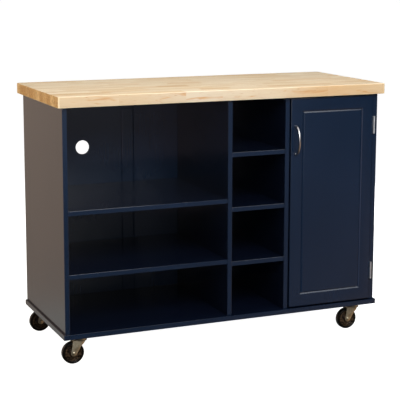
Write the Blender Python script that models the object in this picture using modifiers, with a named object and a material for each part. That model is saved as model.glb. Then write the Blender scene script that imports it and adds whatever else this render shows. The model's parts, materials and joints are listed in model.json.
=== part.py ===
"""Kitchen island cart: a painted cabinet with an open shelf bay, a column of cubbies and a cupboard, under a
laminated wooden worktop, on four swivel casters.

Metres, +Z up. +X runs along the cart's length to the right, and the front faces -Y. The origin is on the
floor, under the middle of the bounding box. Positions below are in the cart's own coordinates, where Y is
zero at the middle of the worktop. The empty island_cart carries them to the origin's frame.
"""

import math

import bmesh
import bpy
from mathutils import Vector

# Fits
FIT_GAP = 0.0003          # between faces that touch
CUTTER_REACH = 0.004      # how far a cutter runs past the face it cuts
JOIN_REACH = 0.001        # how far a shape runs into the one it is joined to

# Worktop
WORKTOP_WIDTH = 1.200
WORKTOP_DEPTH = 0.502
WORKTOP_THICKNESS = 0.037
WORKTOP_TOP = 0.895
WORKTOP_CORNER_RADIUS = 0.008
WORKTOP_ARRIS = 0.0025
WORKTOP_UNDERSIDE = WORKTOP_TOP - WORKTOP_THICKNESS

# Base panel
BASE_WIDTH = 1.174
BASE_BOTTOM = 0.0925
BASE_TOP = 0.1095
BASE_FRONT = -0.240
BASE_REAR = 0.2395

# Cabinet boards
BOARD = 0.016
CABINET_WIDTH = 1.161
CABINET_FRONT = -0.231
CABINET_REAR = 0.239
INNER_X = CABINET_WIDTH / 2 - BOARD
PARTITION_LEFT_X = 0.001           # left faces of the partitions
PARTITION_RIGHT_X = 0.217

# Back: three thin sheets, a T-shaped stile over each seam and an L-shaped rail along the top
SHEET = 0.005
SHEET_FRONT = 0.2265
SHEET_GROOVE_DEPTH = 0.006
STILE_WIDTH = 0.045
STILE_CENTRES = (-0.1955, 0.1955)
BACK_LAP = 0.010                   # how far a stile or the rail laps over a sheet's edge
RAIL_BOTTOM = 0.7985
CABLE_HOLE_RADIUS = 0.025
CABLE_HOLE_CENTRE = (-0.368, 0.655)

# Shelves
SHELF = 0.0155
SHELF_FRONT = -0.230
LEFT_SHELF_TOPS = {"lower": 0.308, "upper": 0.5195}
CUBBY_PITCH = 0.1895
CUBBY_SHELVES = ("lower", "middle", "upper")
CUPBOARD_SHELF_TOP = 0.4885
CUPBOARD_SHELF_FRONT = -0.195
PIN_RADIUS = 0.0025
PIN_HOLE_RADIUS = 0.0027
PIN_LENGTH = 0.018
PIN_HOLE_DEPTH = 0.009
PIN_ROWS = (-0.150, 0.180)

# Door, shut
DOOR_LEFT = 0.2355
DOOR_RIGHT = 0.5611
DOOR_BOTTOM = 0.1144
DOOR_TOP = 0.8535
DOOR_FRONT = -0.238
DOOR_THICKNESS = 0.018
DOOR_FRAME_WIDTH = 0.047
OPENING_LEFT = DOOR_LEFT + DOOR_FRAME_WIDTH
OPENING_RIGHT = DOOR_RIGHT - DOOR_FRAME_WIDTH
OPENING_BOTTOM = DOOR_BOTTOM + DOOR_FRAME_WIDTH
OPENING_TOP = DOOR_TOP - DOOR_FRAME_WIDTH
DOOR_CHAMFER = 0.0042              # of the frame's inner edge and of the raised panel's edge, which make a V
TONGUE_DEPTH = 0.0065              # from the door's front to the panel's tongue
TONGUE_THICKNESS = 0.006
PANEL_GROOVE_DEPTH = 0.008

# Door hinges: three-knuckle butt hinges
HINGE_HEIGHT = 0.061
HINGE_CENTRES = {"upper": 0.7475, "lower": 0.219}
KNUCKLE_RADIUS = 0.0035
KNUCKLE_BORE = 0.00185
KNUCKLE_GAP = 0.0004
HINGE_PIN_RADIUS = 0.0016
LEAF_THICKNESS = 0.0012
LEAF_REAR = -0.2215
HINGE_X = (DOOR_RIGHT + INNER_X) / 2
HINGE_Y = DOOR_FRONT - KNUCKLE_RADIUS

# Door pull
PULL_X = 0.2535
PULL_CENTRE_Z = 0.7087
PULL_SCREW_SPACING = 0.096
PULL_PROJECTION = 0.030
PULL_RADIUS = 0.0042
PULL_FOOT_RADIUS = 0.0065
PULL_FOOT_HEIGHT = 0.006
PULL_NECK = 0.9                    # of the bow's radius, where a foot meets it
PULL_POINTS = 19
SCREW_SHANK_RADIUS = 0.0019
SCREW_HOLE_RADIUS = 0.0024
SCREW_HEAD_RADIUS = 0.0045
SCREW_HEAD_HEIGHT = 0.0028
SCREW_BITE = 0.008

# Magnetic catch
CATCH_SIZE = (0.0145, 0.0135, 0.044)
CATCH_CENTRE_Z = 0.700
STRIKE_SIZE = (0.013, 0.0012, 0.036)

# Casters: swivel axes, and sizes measured from the floor or from the swivel axis
CASTER_X = 0.518
CASTER_Y = 0.1985
WHEEL_RADIUS = 0.0375
WHEEL_TRAIL = 0.0285
TYRE_WIDTH = 0.022
TYRE_INNER_RADIUS = 0.0290
TYRE_SHOULDER = 0.0030
HUB_WIDTH = 0.0205
HUB_BORE = 0.0034
HUB_BOSS_RADIUS = 0.0095
HUB_BOSS_STEP = 0.0010             # how far the boss stands out past the rim
HUB_WEB_RECESS = 0.0040
HUB_RIM_WIDTH = 0.0030
HUB_DRAFT = 0.0010
PLATE_SIZE = 0.060
PLATE_THICKNESS = 0.0025
PLATE_CORNER_RADIUS = 0.006
PLATE_HOLE_RADIUS = 0.0030
PLATE_HOLE_OFFSET = 0.0230
PLATE_HOLE_SEGMENTS = 8
RACE_TOP_RADIUS = 0.0255
RACE_RADIUS = 0.0195
RACE_DEPTH = 0.0040
RACE_GAP = 0.0005                  # between the upper race and the fork that turns under it
FORK_TOP = 0.0803
FORK_DISC_THICKNESS = 0.0028
FORK_DISC_RADIUS = 0.0205
FORK_SHEET = 0.0025
FORK_INSIDE = 0.0125               # from the wheel's middle plane to a leg's inner face
FORK_OUTSIDE = FORK_INSIDE + FORK_SHEET
FORK_BACK = -0.0305                # the legs' rear edge under the crown
FORK_CORNER = (-0.0015, 0.0617)    # where a leg's front edge turns up along the web
FORK_WEB_FOOT = 0.0765             # the web's lower edge at its foremost point
FORK_EYE_RADIUS = 0.0098
FORK_WEB_STEPS = 12
KINGPIN_RADIUS = 0.0040
KINGPIN_HOLE_RADIUS = 0.0043
KINGPIN_HEAD_RADIUS = 0.0065
KINGPIN_HEAD_HEIGHT = 0.0022
AXLE_RADIUS = 0.0031
AXLE_HOLE_RADIUS = 0.0033
AXLE_HEAD_RADIUS = 0.0060
AXLE_HEAD_HEIGHT = 0.0026
HEAD_CHAMFER = 0.0010

ROUND_SEGMENTS = 32                # tyres and the cable hole
CASTER_SEGMENTS = 20
SMALL_SEGMENTS = 12                # pins, screws, knuckles and their holes
PULL_FRONT = DOOR_FRONT - PULL_PROJECTION - PULL_RADIUS
FRAME_SHIFT_Y = -(PULL_FRONT + WORKTOP_DEPTH / 2) / 2   # puts the origin under the bounding box's middle

COLOURS = {
    "butcher_block": ((0.66, 0.50, 0.30), 0.45, 0.0),
    "navy_paint": ((0.012, 0.024, 0.052), 0.38, 0.0),
    "satin_nickel": ((0.62, 0.61, 0.58), 0.30, 1.0),
    "hinge_steel": ((0.60, 0.63, 0.66), 0.32, 1.0),
    "zinc_plate": ((0.58, 0.52, 0.40), 0.38, 1.0),
    "catch_plastic": ((0.72, 0.70, 0.66), 0.50, 0.0),
    "wheel_hub": ((0.035, 0.028, 0.024), 0.45, 0.0),
    "tyre_rubber": ((0.016, 0.014, 0.013), 0.60, 0.0),
}


# ---- Scene, materials and empties ----

def clear_scene():
    for thing in list(bpy.data.objects):
        bpy.data.objects.remove(thing, do_unlink=True)


def new_collection(name):
    collection = bpy.data.collections.new(name)
    bpy.context.scene.collection.children.link(collection)
    return collection


def new_material(name, colour, roughness, metallic):
    material = bpy.data.materials.new(name)
    material.use_nodes = True
    shader = material.node_tree.nodes["Principled BSDF"]
    shader.inputs["Base Color"].default_value = (*colour, 1.0)
    shader.inputs["Roughness"].default_value = roughness
    shader.inputs["Metallic"].default_value = metallic
    material.diffuse_color = (*colour, 1.0)
    return material


def new_empty(name, place, parent=None):
    """An empty at place. It keeps place as a property, for measuring what is attached to it."""
    empty = bpy.data.objects.new(name, None)
    PARTS.objects.link(empty)
    empty["place"] = tuple(place)
    if parent is None:
        empty.location = place
    else:
        attach(empty, parent, place)
    return empty


def attach(thing, parent, place):
    """Parents thing, with its origin at place."""
    thing.parent = parent
    thing.location = Vector(place) - Vector(parent["place"])


# ---- Shapes ----

def new_object(name, shape, finish):
    """An object from a bmesh, in the collection of parts, or in the cutters' when it has no finish."""
    mesh = bpy.data.meshes.new(name)
    shape.to_mesh(mesh)
    shape.free()
    return link_mesh(name, mesh, finish)


def link_mesh(name, mesh, finish):
    thing = bpy.data.objects.new(name, mesh)
    if finish is None:
        CUTTERS.objects.link(thing)
        thing.hide_render = True
        thing.display_type = "WIRE"
    else:
        mesh.materials.append(MATERIALS[finish])
        PARTS.objects.link(thing)
    return thing


def smooth(thing, angle=40.0):
    thing.data.shade_smooth()
    thing.data.set_sharp_from_angle(angle=math.radians(angle))


def box(name, size, finish=None, corner_radius=0.0):
    """A box about its centre, with its upright edges rounded if corner_radius is given."""
    shape = bmesh.new()
    bmesh.ops.create_cube(shape, size=1.0)
    bmesh.ops.scale(shape, vec=size, verts=shape.verts)
    if corner_radius:
        uprights = [e for e in shape.edges if abs(e.verts[0].co.z - e.verts[1].co.z) > size[2] / 2]
        bmesh.ops.bevel(shape, geom=uprights, offset=corner_radius, segments=3, profile=0.5,
                        affect="EDGES", clamp_overlap=True)
    return new_object(name, shape, finish)


def board(name, low, high, finish="navy_paint", parent=None):
    """A flat board between two opposite corners."""
    low, high = Vector(low), Vector(high)
    thing = box(name, high - low, finish)
    attach(thing, parent or CART, (low + high) / 2)
    return thing


def rod(name, radius, length, finish=None, segments=SMALL_SEGMENTS):
    """A plain cylinder along Z about its centre."""
    shape = bmesh.new()
    bmesh.ops.create_cone(shape, cap_ends=True, segments=segments, radius1=radius, radius2=radius,
                          depth=length)
    return new_object(name, shape, finish)


def turned(name, profile, finish, segments=ROUND_SEGMENTS, bored=False):
    """A turned piece about Z. The profile is (radius, height) from the top down the outer side.
    A bored piece's profile is a closed ring; a solid one's starts and ends on the axis."""
    shape = bmesh.new()
    points = [shape.verts.new((radius, 0.0, height)) for radius, height in profile]
    for first, second in zip(points, points[1:]):
        shape.edges.new((first, second))
    if bored:
        shape.edges.new((points[-1], points[0]))
    thing = new_object(name, shape, finish)
    screw = thing.modifiers.new("turn", "SCREW")
    screw.steps = segments
    screw.render_steps = segments
    screw.use_merge_vertices = True
    screw.merge_threshold = 0.00001
    return thing


def mirrored(half_profile):
    """A turned profile's upper half, followed by its mirror image below."""
    return half_profile + [(radius, -height) for radius, height in reversed(half_profile)]


def meshed(thing, finish):
    """The same thing as a closed mesh: its loose caps are welded on, and its faces point out."""
    bpy.context.view_layer.update()
    evaluated = thing.evaluated_get(bpy.context.evaluated_depsgraph_get())
    mesh = bpy.data.meshes.new_from_object(evaluated)
    shape = bmesh.new()
    shape.from_mesh(mesh)
    bmesh.ops.remove_doubles(shape, verts=shape.verts, dist=0.000005)
    bmesh.ops.recalc_face_normals(shape, faces=shape.faces)
    shape.to_mesh(mesh)
    shape.free()
    name = thing.name
    matrix = thing.matrix_world.copy()
    bpy.data.objects.remove(thing, do_unlink=True)
    mesh.materials.clear()
    result = link_mesh(name, mesh, finish)
    result.matrix_world = matrix
    return result


def extruded(name, outline, thickness, finish=None):
    """A flat outline in the XY plane, extruded along Z by half its thickness each way."""
    curve = bpy.data.curves.new(name, "CURVE")
    curve.dimensions = "2D"
    curve.fill_mode = "BOTH"
    curve.extrude = thickness / 2
    spline = curve.splines.new("POLY")
    spline.points.add(len(outline) - 1)
    for point, (x, y) in zip(spline.points, outline):
        point.co = (x, y, 0.0, 1.0)
    spline.use_cyclic_u = True
    thing = bpy.data.objects.new(name, curve)
    PARTS.objects.link(thing)
    return meshed(thing, finish)


def boolean(thing, tool, operation):
    modifier = thing.modifiers.new(f"{operation.lower()} {tool.name}", "BOOLEAN")
    modifier.operation = operation
    modifier.object = tool
    return tool


def cut(thing, tool, place, rotation=(0.0, 0.0, 0.0)):
    """Cuts tool from thing. The tool rides on thing's parent, at place."""
    attach(tool, thing.parent, place)
    tool.rotation_euler = rotation
    return boolean(thing, tool, "DIFFERENCE")


def fuse(thing, tool, place, rotation=(0.0, 0.0, 0.0)):
    """Joins tool to thing. The tool rides on thing's parent, at place."""
    attach(tool, thing.parent, place)
    tool.rotation_euler = rotation
    return boolean(thing, tool, "UNION")


def trim(thing, tool, place, rotation=(0.0, 0.0, 0.0)):
    """Keeps only what of thing lies inside tool. The tool rides on thing's parent, at place."""
    attach(tool, thing.parent, place)
    tool.rotation_euler = rotation
    return boolean(thing, tool, "INTERSECT")


ALONG_X = (0.0, math.radians(90), 0.0)      # turns a piece's own Z axis to X
ALONG_Y = (math.radians(-90), 0.0, 0.0)     # and to +Y
UPRIGHT = (math.radians(90), 0.0, 0.0)      # stands an outline up: own Y to Z
SECTION_ALONG_X = (math.radians(90), 0.0, math.radians(90))   # own X to Y, own Y to Z, own Z to X


# ---- Cabinet ----

def make_worktop():
    top = box("worktop", (WORKTOP_WIDTH, WORKTOP_DEPTH, WORKTOP_THICKNESS), "butcher_block",
              WORKTOP_CORNER_RADIUS)
    attach(top, CART, (0, 0, WORKTOP_TOP - WORKTOP_THICKNESS / 2))
    arris = top.modifiers.new("arris", "BEVEL")
    arris.width = WORKTOP_ARRIS
    arris.segments = 2
    arris.limit_method = "ANGLE"
    arris.angle_limit = math.radians(40)
    smooth(top)


def make_base():
    board("base_panel", (-BASE_WIDTH / 2, BASE_FRONT, BASE_BOTTOM), (BASE_WIDTH / 2, BASE_REAR, BASE_TOP))


def upright(name, left, rear):
    """An upright board of the cabinet, from the base panel to the worktop."""
    return board(name, (left, CABINET_FRONT, BASE_TOP + FIT_GAP),
                 (left + BOARD, rear, WORKTOP_UNDERSIDE - FIT_GAP))


def groove_for_sheet(panel, inner_face, inward):
    """The groove in a side panel's inner face that holds the back sheet's edge."""
    width = SHEET_GROOVE_DEPTH + CUTTER_REACH
    height = WORKTOP_UNDERSIDE - BASE_TOP + 2 * CUTTER_REACH
    tool = box(f"{panel.name}_groove", (width, SHEET + 2 * FIT_GAP, height))
    centre_x = inner_face - inward * (SHEET_GROOVE_DEPTH - width / 2)
    cut(panel, tool, (centre_x, SHEET_FRONT + SHEET / 2, (WORKTOP_UNDERSIDE + BASE_TOP) / 2))


def make_uprights():
    left = upright("side_panel_left", -CABINET_WIDTH / 2, CABINET_REAR)
    groove_for_sheet(left, -INNER_X, 1)
    right = upright("side_panel_right", INNER_X, CABINET_REAR)
    groove_for_sheet(right, INNER_X, -1)
    upright("partition_left", PARTITION_LEFT_X, SHEET_FRONT - FIT_GAP)
    divider = upright("partition_right", PARTITION_RIGHT_X, SHEET_FRONT - FIT_GAP)
    return right, divider


def make_back():
    seam = STILE_WIDTH / 2
    sheet_rear = SHEET_FRONT + SHEET
    edge_x = INNER_X + SHEET_GROOVE_DEPTH - FIT_GAP
    spans = {
        "left": (-edge_x, STILE_CENTRES[0] - seam - FIT_GAP),
        "centre": (STILE_CENTRES[0] + seam + FIT_GAP, STILE_CENTRES[1] - seam - FIT_GAP),
        "right": (STILE_CENTRES[1] + seam + FIT_GAP, edge_x),
    }
    for side, (low_x, high_x) in spans.items():
        sheet = board(f"back_sheet_{side}", (low_x, SHEET_FRONT, BASE_TOP + FIT_GAP),
                      (high_x, sheet_rear, RAIL_BOTTOM - FIT_GAP))
        if side == "left":
            hole = rod("cable_hole", CABLE_HOLE_RADIUS, SHEET + 2 * CUTTER_REACH,
                       segments=ROUND_SEGMENTS)
            hole_x, hole_z = CABLE_HOLE_CENTRE
            cut(sheet, hole, (hole_x, SHEET_FRONT + SHEET / 2, hole_z), ALONG_Y)
    lap_y = sheet_rear + FIT_GAP
    for side, centre_x in zip(("left", "right"), STILE_CENTRES):
        outline = [(-seam, SHEET_FRONT), (seam, SHEET_FRONT), (seam, lap_y), (seam + BACK_LAP, lap_y),
                   (seam + BACK_LAP, CABINET_REAR), (-seam - BACK_LAP, CABINET_REAR),
                   (-seam - BACK_LAP, lap_y), (-seam, lap_y)]
        low_z = BASE_TOP + FIT_GAP
        high_z = RAIL_BOTTOM - BACK_LAP - FIT_GAP
        stile = extruded(f"back_stile_{side}", outline, high_z - low_z, "navy_paint")
        attach(stile, CART, (centre_x, 0, (low_z + high_z) / 2))
    outline = [(SHEET_FRONT, RAIL_BOTTOM), (SHEET_FRONT, WORKTOP_UNDERSIDE - FIT_GAP),
               (CABINET_REAR, WORKTOP_UNDERSIDE - FIT_GAP), (CABINET_REAR, RAIL_BOTTOM - BACK_LAP),
               (lap_y, RAIL_BOTTOM - BACK_LAP), (lap_y, RAIL_BOTTOM)]
    rail = extruded("back_top_rail", outline, 2 * (INNER_X - FIT_GAP), "navy_paint")
    attach(rail, CART, (0, 0, 0))
    rail.rotation_euler = SECTION_ALONG_X


def shelf(name, low_x, high_x, top, front=SHELF_FRONT):
    board(name, (low_x + FIT_GAP, front, top - SHELF), (high_x - FIT_GAP, SHEET_FRONT - FIT_GAP, top))


def make_shelves():
    for level, top in LEFT_SHELF_TOPS.items():
        shelf(f"left_bay_shelf_{level}", -INNER_X, PARTITION_LEFT_X, top)
    for count, level in enumerate(CUBBY_SHELVES, start=1):
        shelf(f"cubby_shelf_{level}", PARTITION_LEFT_X + BOARD, PARTITION_RIGHT_X,
              BASE_TOP + count * CUBBY_PITCH)
    shelf("cupboard_shelf", PARTITION_RIGHT_X + BOARD, INNER_X, CUPBOARD_SHELF_TOP, CUPBOARD_SHELF_FRONT)


def make_shelf_pins(right_panel, divider):
    """Four pins in blind holes carry the cupboard shelf."""
    pin_z = CUPBOARD_SHELF_TOP - SHELF - FIT_GAP - PIN_RADIUS
    walls = (("left", PARTITION_RIGHT_X + BOARD, 1, divider), ("right", INNER_X, -1, right_panel))
    for side, wall_x, inward, wall in walls:
        for place, pin_y in zip(("front", "rear"), PIN_ROWS):
            name = f"shelf_pin_{place}_{side}"
            pin = rod(name, PIN_RADIUS, PIN_LENGTH, "hinge_steel", SMALL_SEGMENTS)
            smooth(pin)
            pin_x = wall_x + inward * (PIN_LENGTH / 2 - PIN_HOLE_DEPTH + FIT_GAP)
            attach(pin, CART, (pin_x, pin_y, pin_z))
            pin.rotation_euler = ALONG_X
            depth = PIN_HOLE_DEPTH + CUTTER_REACH
            hole = rod(f"{name}_hole", PIN_HOLE_RADIUS, depth)
            hole_x = wall_x + inward * (depth / 2 - PIN_HOLE_DEPTH)
            cut(wall, hole, (hole_x, pin_y, pin_z), ALONG_X)


# ---- Door ----

def frame_member(name, length, middle, angle):
    """A mitred member of the door frame. In its own space X runs from the outer edge to the opening, Y from
    the front to the back and Z along it. middle is the middle of its outer front edge, and angle turns it
    about Y."""
    width = DOOR_FRAME_WIDTH
    groove_front = TONGUE_DEPTH - FIT_GAP
    groove_back = TONGUE_DEPTH + TONGUE_THICKNESS + FIT_GAP
    groove_x = width - PANEL_GROOVE_DEPTH
    outline = [(0, 0), (width - DOOR_CHAMFER, 0), (width, DOOR_CHAMFER), (width, groove_front),
               (groove_x, groove_front), (groove_x, groove_back), (width, groove_back),
               (width, DOOR_THICKNESS), (0, DOOR_THICKNESS)]
    member = extruded(name, outline, length, "navy_paint")
    shape = bmesh.new()
    shape.from_mesh(member.data)
    for end in (-1, 1):
        mitre = Vector((1, 0, end)).normalized()
        corner = Vector((0, 0, end * length / 2)) - mitre * FIT_GAP / 2
        cut_through = bmesh.ops.bisect_plane(shape, geom=shape.verts[:] + shape.edges[:] + shape.faces[:],
                                             plane_co=corner, plane_no=mitre, clear_outer=True)
        rim = [e for e in cut_through["geom_cut"] if isinstance(e, bmesh.types.BMEdge)]
        bmesh.ops.edgeloop_fill(shape, edges=rim)
    bmesh.ops.recalc_face_normals(shape, faces=shape.faces)
    shape.to_mesh(member.data)
    shape.free()
    attach(member, DOOR, middle)
    member.rotation_euler = (0, math.radians(angle), 0)
    return member


def make_door_panel():
    """A tongue held in the frame's groove, and a raised field in front of it, level with the frame."""
    tongue_front = DOOR_FRONT + TONGUE_DEPTH
    reach = PANEL_GROOVE_DEPTH - FIT_GAP
    panel = board("door_panel", (OPENING_LEFT - reach, tongue_front, OPENING_BOTTOM - reach),
                  (OPENING_RIGHT + reach, tongue_front + TONGUE_THICKNESS, OPENING_TOP + reach), parent=DOOR)
    width = OPENING_RIGHT - OPENING_LEFT - 2 * FIT_GAP
    height = OPENING_TOP - OPENING_BOTTOM - 2 * FIT_GAP
    depth = TONGUE_DEPTH + JOIN_REACH
    shape = bmesh.new()
    bmesh.ops.create_cube(shape, size=1.0)
    bmesh.ops.scale(shape, vec=(width, depth, height), verts=shape.verts)
    front_rim = [e for e in shape.edges if all(v.co.y < 0 for v in e.verts)]
    bmesh.ops.bevel(shape, geom=front_rim, offset=DOOR_CHAMFER, segments=1, affect="EDGES")
    field = new_object("door_panel_field", shape, None)
    fuse(panel, field, ((OPENING_LEFT + OPENING_RIGHT) / 2, DOOR_FRONT + depth / 2,
                        (OPENING_BOTTOM + OPENING_TOP) / 2))


def make_door():
    height = DOOR_TOP - DOOR_BOTTOM
    width = DOOR_RIGHT - DOOR_LEFT
    middle_x = (DOOR_LEFT + DOOR_RIGHT) / 2
    middle_z = (DOOR_BOTTOM + DOOR_TOP) / 2
    stile = frame_member("door_stile_left", height, (DOOR_LEFT, DOOR_FRONT, middle_z), 0)
    frame_member("door_stile_right", height, (DOOR_RIGHT, DOOR_FRONT, middle_z), 180)
    frame_member("door_rail_bottom", width, (middle_x, DOOR_FRONT, DOOR_BOTTOM), -90)
    frame_member("door_rail_top", width, (middle_x, DOOR_FRONT, DOOR_TOP), 90)
    make_door_panel()
    return stile


def make_pull():
    """An arched pull, half an ellipse in the YZ plane, on two round feet, bored for its screws."""
    path = bpy.data.curves.new("door_pull", "CURVE")
    path.dimensions = "3D"
    path.bevel_depth = PULL_RADIUS
    path.bevel_resolution = 2
    path.use_fill_caps = True
    spline = path.splines.new("POLY")
    spline.points.add(PULL_POINTS - 1)
    for count, point in enumerate(spline.points):
        turn = math.pi * count / (PULL_POINTS - 1)
        point.co = (0, -PULL_PROJECTION * math.sin(turn), PULL_SCREW_SPACING / 2 * math.cos(turn), 1.0)
    bow = bpy.data.objects.new("door_pull", path)
    PARTS.objects.link(bow)
    pull = meshed(bow, "satin_nickel")
    attach(pull, DOOR, (PULL_X, DOOR_FRONT, PULL_CENTRE_Z))
    smooth(pull)
    foot_base = DOOR_FRONT - FIT_GAP
    neck = PULL_RADIUS * PULL_NECK
    for side in (-1, 1):
        foot_z = PULL_CENTRE_Z + side * PULL_SCREW_SPACING / 2
        profile = [(0, JOIN_REACH), (PULL_FOOT_RADIUS, JOIN_REACH), (PULL_FOOT_RADIUS, 0),
                   (neck, -PULL_FOOT_HEIGHT), (0, -PULL_FOOT_HEIGHT)]
        foot = turned(f"door_pull_foot_{side}", profile, None, SMALL_SEGMENTS)
        fuse(pull, foot, (PULL_X, foot_base, foot_z), ALONG_Y)
    margin = 4 * PULL_FOOT_RADIUS
    behind = box("door_pull_behind", (margin, margin, PULL_SCREW_SPACING + margin))
    cut(pull, behind, (PULL_X, foot_base + margin / 2, PULL_CENTRE_Z))
    return pull


def make_pull_screws(pull, stile):
    """A screw through the left stile into each foot of the pull."""
    back = DOOR_FRONT + DOOR_THICKNESS
    tip = DOOR_FRONT - SCREW_BITE
    bore_end = tip - FIT_GAP
    head = FIT_GAP + SCREW_HEAD_HEIGHT
    for side, label in ((1, "upper"), (-1, "lower")):
        screw_z = PULL_CENTRE_Z + side * PULL_SCREW_SPACING / 2
        name = f"pull_screw_{label}"
        profile = [(0, head), (SCREW_HEAD_RADIUS - HEAD_CHAMFER, head),
                   (SCREW_HEAD_RADIUS, head - HEAD_CHAMFER),
                   (SCREW_HEAD_RADIUS, FIT_GAP), (SCREW_SHANK_RADIUS, FIT_GAP),
                   (SCREW_SHANK_RADIUS, tip - back), (0, tip - back)]
        screw = turned(name, profile, "hinge_steel", SMALL_SEGMENTS)
        attach(screw, DOOR, (PULL_X, back, screw_z))
        screw.rotation_euler = ALONG_Y
        through = DOOR_THICKNESS + 2 * CUTTER_REACH
        cut(stile, rod(f"{name}_hole", SCREW_HOLE_RADIUS, through),
            (PULL_X, DOOR_FRONT + DOOR_THICKNESS / 2, screw_z), ALONG_Y)
        depth = DOOR_FRONT + CUTTER_REACH - bore_end
        cut(pull, rod(f"{name}_bore", SCREW_SHANK_RADIUS + FIT_GAP, depth),
            (PULL_X, bore_end + depth / 2, screw_z), ALONG_Y)


def hinge_leaf(name, parent, plate_x, own_spans, centre_z):
    """A leaf behind the knuckles, joined to its own knuckles, which are bored for the pin."""
    plate_front = HINGE_Y + KNUCKLE_RADIUS + KNUCKLE_GAP
    half = HINGE_HEIGHT / 2
    leaf = board(name, (plate_x, plate_front, centre_z - half),
                 (plate_x + LEAF_THICKNESS, LEAF_REAR, centre_z + half), "hinge_steel", parent)
    for count, (low, high) in enumerate(own_spans):
        knuckle = rod(f"{name}_knuckle_{count}", KNUCKLE_RADIUS, high - low)
        fuse(leaf, knuckle, (HINGE_X, HINGE_Y, (low + high) / 2))
        strip_rear = plate_front + LEAF_THICKNESS
        strip = box(f"{name}_strip_{count}", (LEAF_THICKNESS, strip_rear - HINGE_Y, high - low))
        fuse(leaf, strip, (plate_x + LEAF_THICKNESS / 2, (HINGE_Y + strip_rear) / 2, (low + high) / 2))
    bore = rod(f"{name}_bore", KNUCKLE_BORE, HINGE_HEIGHT + 2 * CUTTER_REACH)
    cut(leaf, bore, (HINGE_X, HINGE_Y, centre_z))


def make_hinges():
    third = HINGE_HEIGHT / 3
    for label, centre_z in HINGE_CENTRES.items():
        bottom = centre_z - HINGE_HEIGHT / 2
        outer_spans = [(bottom, bottom + third - KNUCKLE_GAP / 2),
                       (bottom + 2 * third + KNUCKLE_GAP / 2, bottom + HINGE_HEIGHT)]
        inner_spans = [(bottom + third + KNUCKLE_GAP / 2, bottom + 2 * third - KNUCKLE_GAP / 2)]
        cabinet_plate_x = INNER_X - FIT_GAP - LEAF_THICKNESS
        hinge_leaf(f"hinge_{label}_cabinet_leaf", CART, cabinet_plate_x, outer_spans, centre_z)
        hinge_leaf(f"hinge_{label}_door_leaf", DOOR, DOOR_RIGHT + FIT_GAP, inner_spans, centre_z)
        pin = rod(f"hinge_{label}_pin", HINGE_PIN_RADIUS, HINGE_HEIGHT, "hinge_steel", SMALL_SEGMENTS)
        smooth(pin)
        attach(pin, CART, (HINGE_X, HINGE_Y, centre_z))


def make_catch():
    """A magnetic catch on the right partition, and its strike plate on the door's back."""
    wall_x = PARTITION_RIGHT_X + BOARD
    door_back = DOOR_FRONT + DOOR_THICKNESS
    strike_x = wall_x + FIT_GAP + CATCH_SIZE[0] / 2
    strike_front = door_back + FIT_GAP
    catch_front = strike_front + STRIKE_SIZE[1] + FIT_GAP
    catch = box("magnetic_catch", CATCH_SIZE, "catch_plastic")
    attach(catch, CART, (strike_x, catch_front + CATCH_SIZE[1] / 2, CATCH_CENTRE_Z))
    strike = box("catch_strike_plate", STRIKE_SIZE, "hinge_steel")
    attach(strike, DOOR, (strike_x, strike_front + STRIKE_SIZE[1] / 2, CATCH_CENTRE_Z))


# ---- Casters ----

def tangent_angle(point, centre, radius, side):
    """The direction, from a circle's centre, of the point where a line from point touches the circle.
    side is 1 or -1, for the two lines."""
    away = Vector(point) - Vector(centre)
    return math.atan2(away.y, away.x) + math.acos(radius / away.length) * side


def fork_side_outline():
    """The fork from the side: crown, upright rear edge, round eye about the axle, and the web's slope."""
    eye = (-WHEEL_TRAIL, WHEEL_RADIUS)
    back_top = (FORK_BACK, FORK_TOP)
    front = FORK_OUTSIDE + CUTTER_REACH
    slope = (FORK_WEB_FOOT - FORK_CORNER[1]) / (FORK_OUTSIDE - FORK_CORNER[0])
    front_foot = (front, FORK_CORNER[1] + slope * (front - FORK_CORNER[0]))
    start = tangent_angle(back_top, eye, FORK_EYE_RADIUS, 1)
    end = tangent_angle(FORK_CORNER, eye, FORK_EYE_RADIUS, -1) + 2 * math.pi
    steps = 10
    turns = [start + (end - start) * step / steps for step in range(steps + 1)]
    rounding = [Vector(eye) + FORK_EYE_RADIUS * Vector((math.cos(t), math.sin(t))) for t in turns]
    return [back_top, *rounding, FORK_CORNER, front_foot, (front, FORK_TOP)]


def half_round(radius, back):
    """Plan of a D: straight sides from back to the swivel axis, and a half circle in front of it."""
    turns = [math.pi / 2 - math.pi * step / FORK_WEB_STEPS for step in range(FORK_WEB_STEPS + 1)]
    return [(back, radius), *((radius * math.cos(t), radius * math.sin(t)) for t in turns), (back, -radius)]


def make_caster(label, x, y):
    swivel = new_empty(f"caster_{label}_swivel_axis", (x, y, 0), CART)
    axle_place = (x - WHEEL_TRAIL, y, WHEEL_RADIUS)
    roll = new_empty(f"caster_{label}_axle_axis", axle_place, swivel)
    make_caster_plate(label, x, y)
    make_fork(label, x, y, swivel)
    make_axle(label, axle_place, swivel)
    make_wheel(label, axle_place, roll)


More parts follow.
